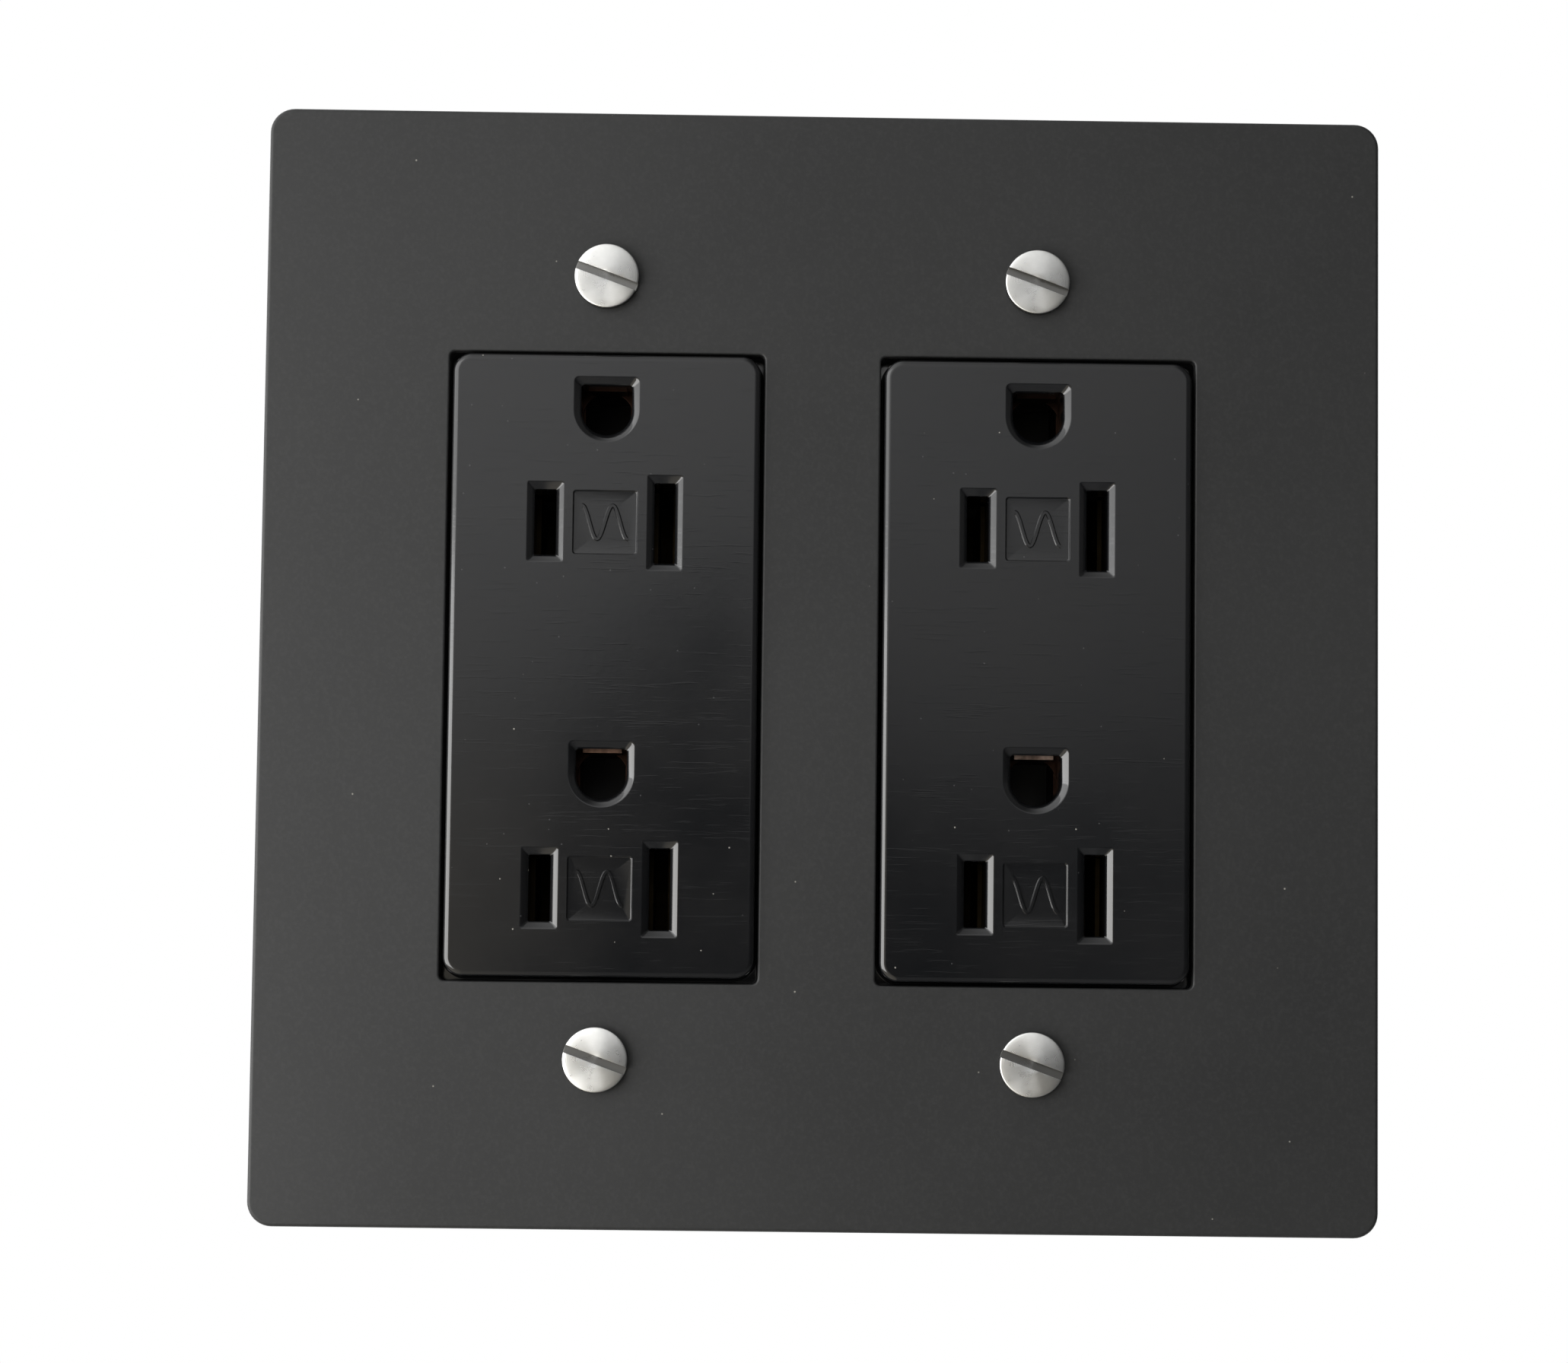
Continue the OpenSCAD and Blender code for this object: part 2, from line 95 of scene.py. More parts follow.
# Screws
THREAD_PITCH = 0.79375 * MM
THREAD_DEPTH = 0.42 * MM
HEAD_R = 3.45 * MM
HEAD_H = 1.3 * MM
HEAD_DOME = 0.14 * MM
HEAD_SLOT = (0.85 * MM, 0.7 * MM)
BOX_SCREW_R = 1.75 * MM
NECK_R = 1.45 * MM
HEAD_TURN = math.radians(-20)
HEAD_RIM = 0.16 * MM
TIP_CHAMFER = 0.7 * MM
SLOT_SOFT = 0.05 * MM


# ---------- mesh helpers ----------

def rounded_rect(w, h, r, steps=8, centre=(0.0, 0.0), rounding=1.0):
    """Returns outline(grow): points of a rounded rectangle, grown outwards by that much.

    rounding is how far the corner radius grows with it: 0 keeps mitred corners sharp."""
    def outline(grow=0.0):
        half_w, half_h = w / 2 + grow, h / 2 + grow
        radius = max(r + rounding * grow, 1e-5)
        points = []
        for quarter in range(4):
            sx = 1 if quarter in (0, 3) else -1
            sz = 1 if quarter in (0, 1) else -1
            for i in range(steps + 1):
                a = math.pi / 2 * (quarter + i / steps)
                points.append((centre[0] + sx * (half_w - radius) + radius * math.cos(a),
                               centre[1] + sz * (half_h - radius) + radius * math.sin(a)))
        return points
    return outline


def circle(r, centre=(0.0, 0.0), steps=64):
    def outline(grow=0.0):
        turn = [2 * math.pi * i / steps for i in range(steps)]
        return [(centre[0] + (r + grow) * math.cos(a), centre[1] + (r + grow) * math.sin(a)) for a in turn]
    return outline


def ground_shape(r, top, corner, centre, steps=40):
    """A ground hole: a half circle below and a flat top with two small corners."""
    def outline(grow=0.0):
        radius = r + grow
        small = max(corner + grow * 0.3, 1e-5)
        points = [(centre[0] + radius * math.cos(a), centre[1] + radius * math.sin(a))
                  for a in (math.pi * (1 + i / steps) for i in range(steps + 1))]
        for side, start in ((1, 0), (-1, math.pi / 2)):
            for i in range(7):
                a = start + math.pi / 2 * i / 6
                points.append((centre[0] + side * (radius - small) + small * math.cos(a),
                               centre[1] + top + grow - small + small * math.sin(a)))
        return points
    return outline


def wave_shape(centre, steps=72):
    """The outline of a thick sine stroke with round ends."""
    def outline(grow=0.0):
        half = WAVE_LINE / 2 + grow
        left, right = [], []
        for i in range(steps + 1):
            t = i / steps - 0.5
            phase = 2 * math.pi * WAVE_TURNS * t
            x, z = t * WAVE_LENGTH, math.sin(phase) * WAVE_HEIGHT / 2
            slope = math.cos(phase) * math.pi * WAVE_TURNS * WAVE_HEIGHT / WAVE_LENGTH
            n = math.hypot(1, slope)
            nx, nz = -slope / n, 1 / n
            left.append((centre[0] + x + nx * half, centre[1] + z + nz * half))
            right.append((centre[0] + x - nx * half, centre[1] + z - nz * half))
        return right + left[::-1]
    return outline


def add_loops(bm, outline, profile):
    """Joins the outline's loops at each (grow, y) of the profile with faces.

    Returns the edges of the first and the last loop."""
    loops = [[bm.verts.new((x, y, z)) for x, z in outline(grow)] for grow, y in profile]
    count = len(loops[0])
    for a, b in zip(loops, loops[1:]):
        for i in range(count):
            j = (i + 1) % count
            bm.faces.new((a[i], a[j], b[j], b[i]))
    ends = []
    for loop in (loops[0], loops[-1]):
        edges = []
        for i in range(count):
            pair = (loop[i], loop[(i + 1) % count])
            edges.append(bm.edges.get(pair) or bm.edges.new(pair))
        ends.append(edges)
    return ends


def fill(bm, *edge_loops):
    """Fills the flat region between loops."""
    edges = [e for loop in edge_loops for e in loop]
    bmesh.ops.triangle_fill(bm, use_beauty=True, use_dissolve=False, edges=edges)


def fillet(r, steps, y0):
    """A rounded front edge's profile: a flat strip, then outwards and back."""
    return [(-r - FLAT_STRIP, y0)] + [(-r + r * math.sin(a), y0 + r - r * math.cos(a))
                                      for a in (math.pi / 2 * i / steps for i in range(steps + 1))]


def mesh_object(name, bm, sharp=32):
    bmesh.ops.recalc_face_normals(bm, faces=bm.faces)
    mesh = bpy.data.meshes.new(name)
    bm.to_mesh(mesh)
    bm.free()
    mesh.shade_smooth()
    mesh.set_sharp_from_angle(angle=math.radians(sharp))
    obj = bpy.data.objects.new(name, mesh)
    bpy.context.scene.collection.objects.link(obj)
    return obj


def keep_flat(obj):
    """Keeps big faces flat where they meet small rounded ones."""
    mod = obj.modifiers.new("flat", "WEIGHTED_NORMAL")
    mod.keep_sharp = True
    mod.weight = 90


def centre_of(node):
    low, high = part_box(node)
    return (low + high) / 2


# ---------- wall plate ----------

def build_plate():
    low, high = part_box("wall_plate")
    mid = (low + high) / 2
    centre = (mid.x, mid.z)
    size = high.x - low.x
    bm = bmesh.new()
    outer = rounded_rect(size, size, PLATE_CORNER, 10, centre)
    inner_size = size - 2 * PLATE_WALL
    inner = rounded_rect(inner_size, inner_size, PLATE_WALL, 8, centre)
    rear_edge = [(0, high.y - CHAMFER), (-CHAMFER, high.y)]
    front, rim = add_loops(bm, outer, fillet(PLATE_EDGE, 6, low.y) + rear_edge)
    back_y = low.y + PLATE_WALL
    rim_in, back = add_loops(bm, inner, [(CHAMFER, high.y), (0, high.y - CHAMFER),
                                         (0, back_y + 0.5 * MM), (-0.15 * MM, back_y + 0.15 * MM),
                                         (-0.5 * MM, back_y)])
    fill(bm, rim, rim_in)
    fronts, backs = [front], [back]
    holes = [rounded_rect(OPENING_W, OPENING_H, OPENING_CORNER, 6, (mid.x + s * GANG_PITCH / 2, mid.z))
             for s in (-1, 1)]
    for v in HEIGHTS:
        for h in SIDES:
            c = centre_of(f"box_screw_{v}_{h}")
            holes.append(circle(SCREW_HOLE_R, (c.x, c.z)))
    for hole in holes:
        edge = [(-g, y) for g, y in fillet(OPENING_EDGE, 5, low.y)]
        first, last = add_loops(bm, hole, edge + [(0, back_y - CHAMFER), (CHAMFER, back_y)])
        fronts.append(first)
        backs.append(last)
    fill(bm, *fronts)
    fill(bm, *backs)
    obj = mesh_object("wall_plate_shell", bm)
    keep_flat(obj)
    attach(obj, "plate")
    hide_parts("wall_plate")
    return obj


# ---------- face covers ----------

def hole_profile(face_y, back_y):
    """A bevel that steepens inwards, with its inner edge softened, and a straight wall behind it."""
    ways = [i / BEVEL_STEPS for i in range(BEVEL_STEPS)]
    slope = [(BEVEL * (1 - way), face_y + BEVEL_DEPTH * way ** BEVEL_CURVE) for way in ways]
    return [(BEVEL + FLAT_STRIP, face_y)] + slope + [(0.1 * SOFT, face_y + BEVEL_DEPTH + 0.2 * SOFT),
                                                     (0, face_y + BEVEL_DEPTH + SOFT), (0, back_y)]


def build_face(side):
    low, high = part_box(f"{side}_face_cover")
    mid = (low + high) / 2
    cx, cz = mid.x, mid.z
    bm = bmesh.new()
    outer = rounded_rect(high.x - low.x - 2 * SHOULDER_OUT, high.z - low.z - 2 * SHOULDER_OUT,
                         FACE_CORNER, 10, (cx, cz))
    shoulder_y = high.y - SHOULDER_T
    shoulder = [(0, shoulder_y - 0.3 * MM), (0.1 * MM, shoulder_y - 0.1 * MM), (0.3 * MM, shoulder_y),
                (SHOULDER_OUT - 0.2 * MM, shoulder_y), (SHOULDER_OUT, shoulder_y + 0.2 * MM),
                (SHOULDER_OUT, high.y)]
    front, back = add_loops(bm, outer, fillet(FACE_EDGE, 7, low.y) + shoulder)
    fronts, backs = [front], [back]
    for k in range(2):
        z = cz + UPPER_BLADE_Z - k * SOCKET_PITCH
        holes = [rounded_rect(*HOT_SLOT, HOLE_CORNER, 3, (cx - BLADE_PITCH / 2, z), SLOT_ROUNDING),
                 rounded_rect(*NEUTRAL_SLOT, HOLE_CORNER, 3, (cx + BLADE_PITCH / 2, z), SLOT_ROUNDING),
                 ground_shape(GROUND_R, GROUND_TOP, GROUND_CORNER, (cx, z + GROUND_RISE))]
        for hole in holes:
            first, last = add_loops(bm, hole, hole_profile(low.y, high.y))
            fronts.append(first)
            backs.append(last)
        panel = rounded_rect(PANEL, PANEL, PANEL_CORNER, 5, (cx, z))
        floor_y = low.y + PANEL_DEPTH
        panel_edge = [(0.05 * MM + FLAT_STRIP, low.y), (0.05 * MM, low.y), (0, low.y + 0.04 * MM),
                      (-0.06 * MM, floor_y - 0.03 * MM), (-0.12 * MM, floor_y)]
        first, floor = add_loops(bm, panel, panel_edge)
        fronts.append(first)
        top_y = low.y + 0.03 * MM
        foot, top = add_loops(bm, wave_shape((cx, z)), [(0.07 * MM, floor_y), (0, floor_y - 0.06 * MM),
                                                        (-0.05 * MM, top_y)])
        fill(bm, floor, foot)
        fill(bm, top)
    fill(bm, *fronts)
    fill(bm, *backs)
    obj = mesh_object(f"{side}_face", bm)
    keep_flat(obj)
    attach(obj, "receptacles")
    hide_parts(f"{side}_face_cover")
    return obj


# ---------- screws ----------

def thread_radius(r, along, angle, length, tip, neck):
    """Thread radius at a distance along the shank, with a plain neck first, a run-out and a chamfered tip."""
    if along < neck:
        return NECK_R
    turn = (along / THREAD_PITCH - angle / (2 * math.pi)) % 1.0
    crest = min(1.0, max(0.0, 2.6 * abs(turn - 0.5) - 0.15))
    cut = THREAD_DEPTH * (1 - crest) * min(1.0, (along - neck) / (1.2 * THREAD_PITCH))
    left = length - along
    chamfer = max(0.0, tip - left) * 0.8
    return r - max(cut, chamfer)


def screw_mesh(bm, r, length, cap_r, cap_h, dome, neck):
    """A screw without its slot, head underside at the origin, head along +Z and shank along -Z."""
    steps = 96
    rim = HEAD_RIM
    turns = [2 * math.pi * i / steps for i in range(steps)]
    profile = [(0.0, cap_h + dome)]
    profile += [(cap_r * f, cap_h + dome * (1 - f * f)) for f in (0.3, 0.6, 0.85)]
    profile += [(cap_r - rim + rim * math.sin(a), cap_h - rim + rim * math.cos(a))
                for a in (math.pi / 2 * i / 4 for i in range(5))]
    profile += [(cap_r, rim * 0.5), (cap_r - rim * 0.5, 0.0), (NECK_R if neck else r, 0.0)]
    rows = [[bm.verts.new((0, 0, profile[0][1]))]]
    for radius, z in profile[1:]:
        rows.append([bm.verts.new((radius * math.cos(a), radius * math.sin(a), z)) for a in turns])
    thread_steps = int(length / THREAD_PITCH * 8)
    for k in range(1, thread_steps + 1):
        along = length * k / thread_steps
        row = []
        for a in turns:
            radius = thread_radius(r, along, a, length, TIP_CHAMFER, neck)
            row.append(bm.verts.new((radius * math.cos(a), radius * math.sin(a), -along)))
        rows.append(row)
    for i in range(steps):
        bm.faces.new((rows[0][0], rows[1][i], rows[1][(i + 1) % steps]))
    for a, b in zip(rows[1:], rows[2:]):
        for i in range(steps):
            j = (i + 1) % steps
            bm.faces.new((a[i], b[i], b[j], a[j]))
    bm.faces.new(rows[-1][::-1])


def box_mesh(name, low, high):
    bm = bmesh.new()
    bmesh.ops.create_cube(bm, size=1.0)
    for v in bm.verts:
        v.co = Vector([low[i] if v.co[i] < 0 else high[i] for i in range(3)])
    mesh = bpy.data.meshes.new(name)
    bm.to_mesh(mesh)
    bm.free()
    obj = bpy.data.objects.new(name, mesh)
    bpy.context.scene.collection.objects.link(obj)
    return obj


def apply_modifiers(obj):
    graph = bpy.context.evaluated_depsgraph_get()
    mesh = bpy.data.meshes.new_from_object(obj.evaluated_get(graph), depsgraph=graph)
    old = obj.data
    obj.modifiers.clear()
    obj.data = mesh
    bpy.data.meshes.remove(old)


def build_screw(name, r, length, cap_r, cap_h, slot, turn, dome, neck=0.0, cross=False):
    """A threaded screw whose head has one slot, or with cross a second, shorter one across it."""
    bm = bmesh.new()
    screw_mesh(bm, r, length, cap_r, cap_h, dome, neck)
    obj = mesh_object(name, bm, 40)
    cutters = []
    width, depth = slot
    for quarter in ((0, 1) if cross else (0,)):
        reach = cap_r * (1.5 if quarter == 0 else 0.55)
        cutter = box_mesh("cutter", (-reach, -width / 2, cap_h - depth), (reach, width / 2, cap_h + 2 * MM))
        cutter.rotation_euler = (0, 0, turn + quarter * math.pi / 2)
        cutters.append(cutter)
        mod = obj.modifiers.new("slot", "BOOLEAN")
        mod.operation, mod.solver, mod.object = "DIFFERENCE", "EXACT", cutter
    apply_modifiers(obj)
    for cutter in cutters:
        bpy.data.objects.remove(cutter)
    soft = obj.modifiers.new("soft", "BEVEL")
    soft.width, soft.segments, soft.limit_method, soft.angle_limit = SLOT_SOFT, 2, "ANGLE", math.radians(60)
    soft.use_clamp_overlap = True
    apply_modifiers(obj)
    obj.data.shade_smooth()
    obj.data.set_sharp_from_angle(angle=math.radians(38))
    keep_flat(obj)
    return obj


def place_screw(obj, node, axis_point, outward):
    """Stands a screw's head underside on its axis point, with its head towards outward and its Y axis up."""
    z = outward
    up = Vector((0, 0, 1))
    x = up.cross(z).normalized()
    matrix = Matrix.Identity(4)
    for i, column in enumerate((x, z.cross(x), z)):
        for j in range(3):
            matrix[j][i] = column[j]
    matrix.translation = axis_point
    obj.matrix_world = matrix
    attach(obj, node)
    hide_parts(node)


def build_box_screws():
    made = []
    for v in HEIGHTS:
        for h in SIDES:
            node = f"box_screw_{v}_{h}"
            low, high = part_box(node)
            mid = (low + high) / 2
            length = high.y - low.y - HEAD_H
            obj = build_screw(f"{node}_turned", BOX_SCREW_R, length, HEAD_R, HEAD_H - HEAD_DOME, HEAD_SLOT,
                              HEAD_TURN, HEAD_DOME, neck=-low.y - HEAD_H)
            place_screw(obj, node, Vector((mid.x, low.y + HEAD_H, mid.z)), Vector((0, -1, 0)))
            made.append(obj)
    return made


# Terminal screws: node name part, outward side, turn of the slot, material slot
TERMINAL_SCREWS = (
    ("hot_screw_upper", -1, 65, "hot_screw_brass"),
    ("hot_screw_lower", -1, 10, "hot_screw_brass"),
    ("neutral_screw_upper", 1, 40, "neutral_screw_silver"),
    ("neutral_screw_lower", 1, 80, "neutral_screw_silver"),
    ("ground_screw", 1, 30, "ground_screw_green"),
)
TERMINAL_R = 2.08 * MM
TERMINAL_HEAD_H = 2.2 * MM
TERMINAL_DOME = 0.3 * MM
TERMINAL_SLOT = (0.95 * MM, 1.1 * MM)


def build_terminal_screws():
    made = []
    for part, out, turn, slot in TERMINAL_SCREWS:
        for side in SIDES:
            node = f"{side}_{part}"
            low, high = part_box(node)
            mid = (low + high) / 2
            cap_r = (high.z - low.z) / 2
            length = high.x - low.x - TERMINAL_HEAD_H
            obj = build_screw(f"{node}_threaded", TERMINAL_R, length, cap_r, TERMINAL_HEAD_H - TERMINAL_DOME,
                              TERMINAL_SLOT, math.radians(turn), TERMINAL_DOME, cross=True)
            end = high.x if out > 0 else low.x
            place_screw(obj, node, Vector((end - out * TERMINAL_HEAD_H, mid.y, mid.z)), Vector((out, 0, 0)))
            made.append((obj, slot))
    return made


# ---------- materials ----------

# Colours, as pairs from a surface's darker patches to its lighter ones
PLATE_GREY = ((0.0080, 0.0083, 0.0084), (0.0096, 0.0099, 0.0100))
PLATE_GRAIN = (0.020, 0.0203, 0.020)
PLATE_DUST = (0.25, 0.24, 0.21)
FACE_BLACK = ((0.0028, 0.0030, 0.0034), (0.0042, 0.0042, 0.0044))
FACE_DUST = (0.26, 0.25, 0.22)
FACE_FLUFF = (0.2, 0.2, 0.2)
BODY_BLACK = ((0.014, 0.014, 0.016), (0.024, 0.024, 0.026))
BODY_DUST = (0.2, 0.2, 0.19)
# Ground copper: a nearly black colour that is partly tarnish and partly painted shade inside the sockets, and
# a bright colour that is a painted glint on the finger tips
COPPER_TARNISH_AND_SHADE = ((0.012, 0.007, 0.005), (0.026, 0.013, 0.009))
COPPER_RUBBED_GLINT = ((0.20, 0.125, 0.092), (0.62, 0.47, 0.40))
SCREW_GREEN = (0.03, 0.30, 0.09)
# The front tips of the ground fingers, which pins rub, carry a painted glint: where the glint starts and
# where it is full, along Y
GLINT_FROM = -2.6 * MM
GLINT_TO = -3.2 * MM
# How far the painted shade at the bottom of a head's slot fades into the bright metal
SLOT_SHADE_FADE = 0.25 * MM

# Bare and plated metals: darker colour, lighter colour, roughness, and what else metal() takes
METALS = {
    "strap_zinc": ((0.42, 0.43, 0.45), (0.60, 0.61, 0.63), 0.34, {"spangle": 0.5, "grooves": 0.3}),
    # The contact brass is darkened nearly to black as painted shade, for the contacts seen inside the slots;
    # the rivets share this colour
    "contact_brass": ((0.020, 0.015, 0.008), (0.045, 0.033, 0.016), 0.5, {"grooves": 0.4}),
    # The box screws' steel is painted darker at the bottom of the head slots, as shade
    "box_screw_steel": ((0.44, 0.44, 0.43), (0.58, 0.58, 0.565), 0.2,
                        {"turned": 0.5, "slot_shade": HEAD_H - SLOT_SHADE_FADE}),
    "screw_zinc": ((0.45, 0.46, 0.48), (0.62, 0.63, 0.64), 0.3, {}),
    "clamp_zinc": ((0.48, 0.48, 0.49), (0.62, 0.62, 0.63), 0.32, {"spangle": 0.3}),
    "hot_screw_brass": ((0.62, 0.42, 0.14), (0.80, 0.58, 0.24), 0.22, {"turned": 0.25}),
    "neutral_screw_silver": ((0.60, 0.60, 0.60), (0.76, 0.76, 0.75), 0.2, {"turned": 0.25}),
}


class Nodes:
    """A material's node tree, with short calls to add and join nodes."""

    def __init__(self, name, **surface):
        self.material = bpy.data.materials.new(name)
        self.material.use_nodes = True
        self.tree = self.material.node_tree
        self.shader = self.tree.nodes["Principled BSDF"]
        for socket, value in surface.items():
            self.shader.inputs[socket.replace("_", " ")].default_value = value

    def add(self, kind, inputs=None, **settings):
        node = self.tree.nodes.new(f"ShaderNode{kind}")
        for key, value in settings.items():
            setattr(node, key, value)
        for key, value in (inputs or {}).items():
            if hasattr(value, "is_linked"):
                self.tree.links.new(value, node.inputs[key])
            else:
                node.inputs[key].default_value = value
        return node

    def place(self):
        return self.add("TexCoord").outputs["Object"]

    def stretched(self, scale, turn=(0, 0, 0)):
        inputs = {"Vector": self.place(), "Scale": scale, "Rotation": turn}
        return self.add("Mapping", inputs).outputs["Vector"]

    def noise(self, scale, detail=3.0, rough=0.55, where=None):
        inputs = {"Vector": where or self.place(), "Scale": scale, "Detail": detail, "Roughness": rough}
        return self.add("TexNoise", inputs).outputs["Fac"]

    def specks(self, scale, size, seed_shift=0.0):
        """1 inside small specks scattered about one to a cell, 0 elsewhere."""
        moved = self.add("Mapping", {"Vector": self.place(), "Location": (seed_shift,) * 3}).outputs["Vector"]
        cell = self.add("TexVoronoi", {"Vector": moved, "Scale": scale}, feature="F1").outputs["Distance"]
        return self.ramp(cell, ((size * 0.6, 1), (size, 0)))

    def ramp(self, value, stops):
        node = self.add("ValToRGB", {"Fac": value})
        ramp = node.color_ramp
        while len(ramp.elements) < len(stops):
            ramp.elements.new(0.5)
        for element, (at, level) in zip(ramp.elements, stops):
            element.position = at
            colour = level if isinstance(level, tuple) else (level,) * 3
            element.color = (*colour, 1)
        return node.outputs["Color"]

    def maths(self, operation, a, b=0.0, c=0.0):
        node = self.tree.nodes.new("ShaderNodeMath")
        node.operation = operation
        for socket, value in zip(node.inputs, (a, b, c)):
            if hasattr(value, "is_linked"):
                self.tree.links.new(value, socket)
            else:
                socket.default_value = value
        return node.outputs[0]

    def mix(self, factor, a, b):
        node = self.add("Mix", data_type="RGBA")
        for socket, value in zip((node.inputs[0], node.inputs[6], node.inputs[7]), (factor, a, b)):
            if hasattr(value, "is_linked"):
                self.tree.links.new(value, socket)
            else:
                socket.default_value = value if not isinstance(value, tuple) else (*value, 1)
        return node.outputs[2]

    def bump(self, height, distance, strength=1.0, normal=None):
        inputs = {"Height": height, "Distance": distance, "Strength": strength}
        if normal:
            inputs["Normal"] = normal
        return self.add("Bump", inputs).outputs["Normal"]

    def set(self, socket, value):
        self.tree.links.new(value, self.shader.inputs[socket])


def powder_coat():
    """The plate's dark grey paint: a fine grain, slow changes of tone and a little dust."""
    m = Nodes("plate_paint", Specular_IOR_Level=0.29)
    cloud = m.noise(28, 4)
    grain = m.noise(2600, 2)
    dust = m.specks(200, 0.024)
    base = m.mix(m.ramp(cloud, ((0.3, 0), (0.7, 1))), *PLATE_GREY)
    base = m.mix(m.maths("MULTIPLY", m.ramp(grain, ((0.45, 0), (0.75, 1))), 0.3), base, PLATE_GRAIN)
    m.set("Base Color", m.mix(m.maths("MULTIPLY", dust, 0.5), base, PLATE_DUST))
    m.set("Roughness", m.maths("MULTIPLY_ADD", cloud, 0.10, 0.42))
    fine = m.bump(grain, 0.012 * MM, 0.55)
    m.set("Normal", m.bump(m.noise(420, 2), 0.02 * MM, 0.25, fine))
    return m.material


def glossy_black():
    """The faces' polished moulding: smudges, fine scratches, dust and fluff."""
    m = Nodes("face_plastic", Specular_IOR_Level=0.5)
    smudge = m.noise(60, 4, 0.6)
    scratch = m.noise(220, 2, 0.5, m.stretched((1, 1, 22), (0, 0.5, 0)))
    dust = m.specks(300, 0.03, 3.7)
    fluff = m.specks(520, 0.05, 1.3)
    base = m.mix(m.ramp(smudge, ((0.35, 0), (0.7, 1))), *FACE_BLACK)
    base = m.mix(m.maths("MULTIPLY", dust, 0.6), base, FACE_DUST)
    m.set("Base Color", m.mix(m.maths("MULTIPLY", fluff, 0.12), base, FACE_FLUFF))
    m.set("Roughness", m.maths("MULTIPLY_ADD", smudge, 0.12, 0.05))
    fine = m.bump(m.noise(900, 2), 0.004 * MM, 0.35)
    m.set("Normal", m.bump(m.ramp(scratch, ((0.62, 0), (0.7, 1))), 0.003 * MM, 0.4, fine))
    return m.material


def satin_black():
    """The rear bodies' duller moulding."""
    m = Nodes("body_plastic", Specular_IOR_Level=0.45)
    cloud = m.noise(45, 3)
    base = m.mix(cloud, *BODY_BLACK)
    m.set("Base Color", m.mix(m.maths("MULTIPLY", m.specks(110, 0.02), 0.3), base, BODY_DUST))
    m.set("Roughness", m.maths("MULTIPLY_ADD", m.noise(160, 3), 0.2, 0.34))
    m.set("Normal", m.bump(m.noise(1500, 2), 0.02 * MM, 0.5))
    return m.material


def metal(name, dark, light, rough, spangle=0.0, grooves=0.0, turned=0.0, slot_shade=0.0):
    """Bare or plated metal: mottled colour, uneven roughness, and spangle, drawn lines or turned rings.

    Below the height given by the last argument, inside the slot of a screw's head, the metal is painted
    darker as shade."""
    m = Nodes(name, Metallic=1.0)
    cloud = m.noise(240, 4, 0.6)
    colour = m.mix(m.ramp(cloud, ((0.3, 0), (0.7, 1))), dark, light)
    if spangle:
        cell = m.add("TexVoronoi", {"Vector": m.place(), "Scale": 420.0}).outputs["Color"]
        grey = m.add("RGBToBW", {"Color": cell}).outputs[0]
        colour = m.mix(m.maths("MULTIPLY", grey, spangle), colour, tuple(0.55 * c for c in dark))
    # Painted shade at the bottom of a screw head's slot
    if slot_shade:
        height = m.add("SeparateXYZ", {0: m.place()}).outputs["Z"]
        deep = m.add("MapRange", {0: height, 1: slot_shade, 2: slot_shade - SLOT_SHADE_FADE, 3: 0.0, 4: 1.0}).outputs[0]
        colour = m.mix(deep, colour, tuple(0.4 * c for c in dark))
    m.set("Base Color", colour)
    m.set("Roughness", m.maths("MULTIPLY_ADD", m.noise(500, 3), 0.18, rough))
    normal = m.bump(m.noise(1800, 3), 0.01 * MM, 0.5)
    if grooves:
        lines = m.noise(900, 2, 0.5, m.stretched((1, 1, 0.04)))
        normal = m.bump(lines, 0.01 * MM, grooves, normal)
    if turned:
        ring = m.add("TexWave", {"Vector": m.place(), "Scale": 2100.0, "Distortion": 1.2, "Detail": 2.0},
                     wave_type="RINGS", rings_direction="Z")
        normal = m.bump(ring.outputs["Fac"], 0.006 * MM, turned, normal)
        m.shader.inputs["Anisotropic"].default_value = 0.75
        m.set("Tangent", m.add("Tangent", direction_type="RADIAL", axis="Z").outputs["Tangent"])
    m.set("Normal", normal)
    return m.material


def copper_tarnish_shade_and_glint():
    """Dark copper, tarnish and painted shade in one, with a painted glint, partly rubbed metal, on the tips
    of the lower fingers, where ground pins slide in.
    """
    m = Nodes("ground_copper", Metallic=1.0)
    cloud = m.noise(300, 4, 0.6)
    # Nearly black copper over most of the strip: tarnish and painted shade
    tarnish_and_shade = m.mix(m.ramp(cloud, ((0.35, 0), (0.7, 1))), *COPPER_TARNISH_AND_SHADE)
    # Bright copper for the painted glint on the finger tips
    bright = m.mix(m.ramp(cloud, ((0.42, 0), (0.62, 1))), *COPPER_RUBBED_GLINT)
    split = m.add("SeparateXYZ", {0: m.place()})
    tip = m.add("MapRange", {0: split.outputs["Y"], 1: GLINT_FROM, 2: GLINT_TO, 3: 0.0, 4: 1.0}).outputs[0]
    # The painted glint goes only on the lower sockets' fingers
    lower_sockets = m.maths("LESS_THAN", split.outputs["Z"], 0.0)
    patches = m.ramp(m.noise(900, 2), ((0.3, 0.25), (0.6, 1)))
    rubbed_glint = m.maths("MULTIPLY", m.maths("MULTIPLY", tip, lower_sockets), patches)
    m.set("Base Color", m.mix(rubbed_glint, tarnish_and_shade, bright))
    m.set("Roughness", m.maths("MULTIPLY_ADD", m.noise(500, 3), 0.2, 0.22))
    m.set("Normal", m.bump(m.noise(1800, 3), 0.01 * MM, 0.5))
    return m.material


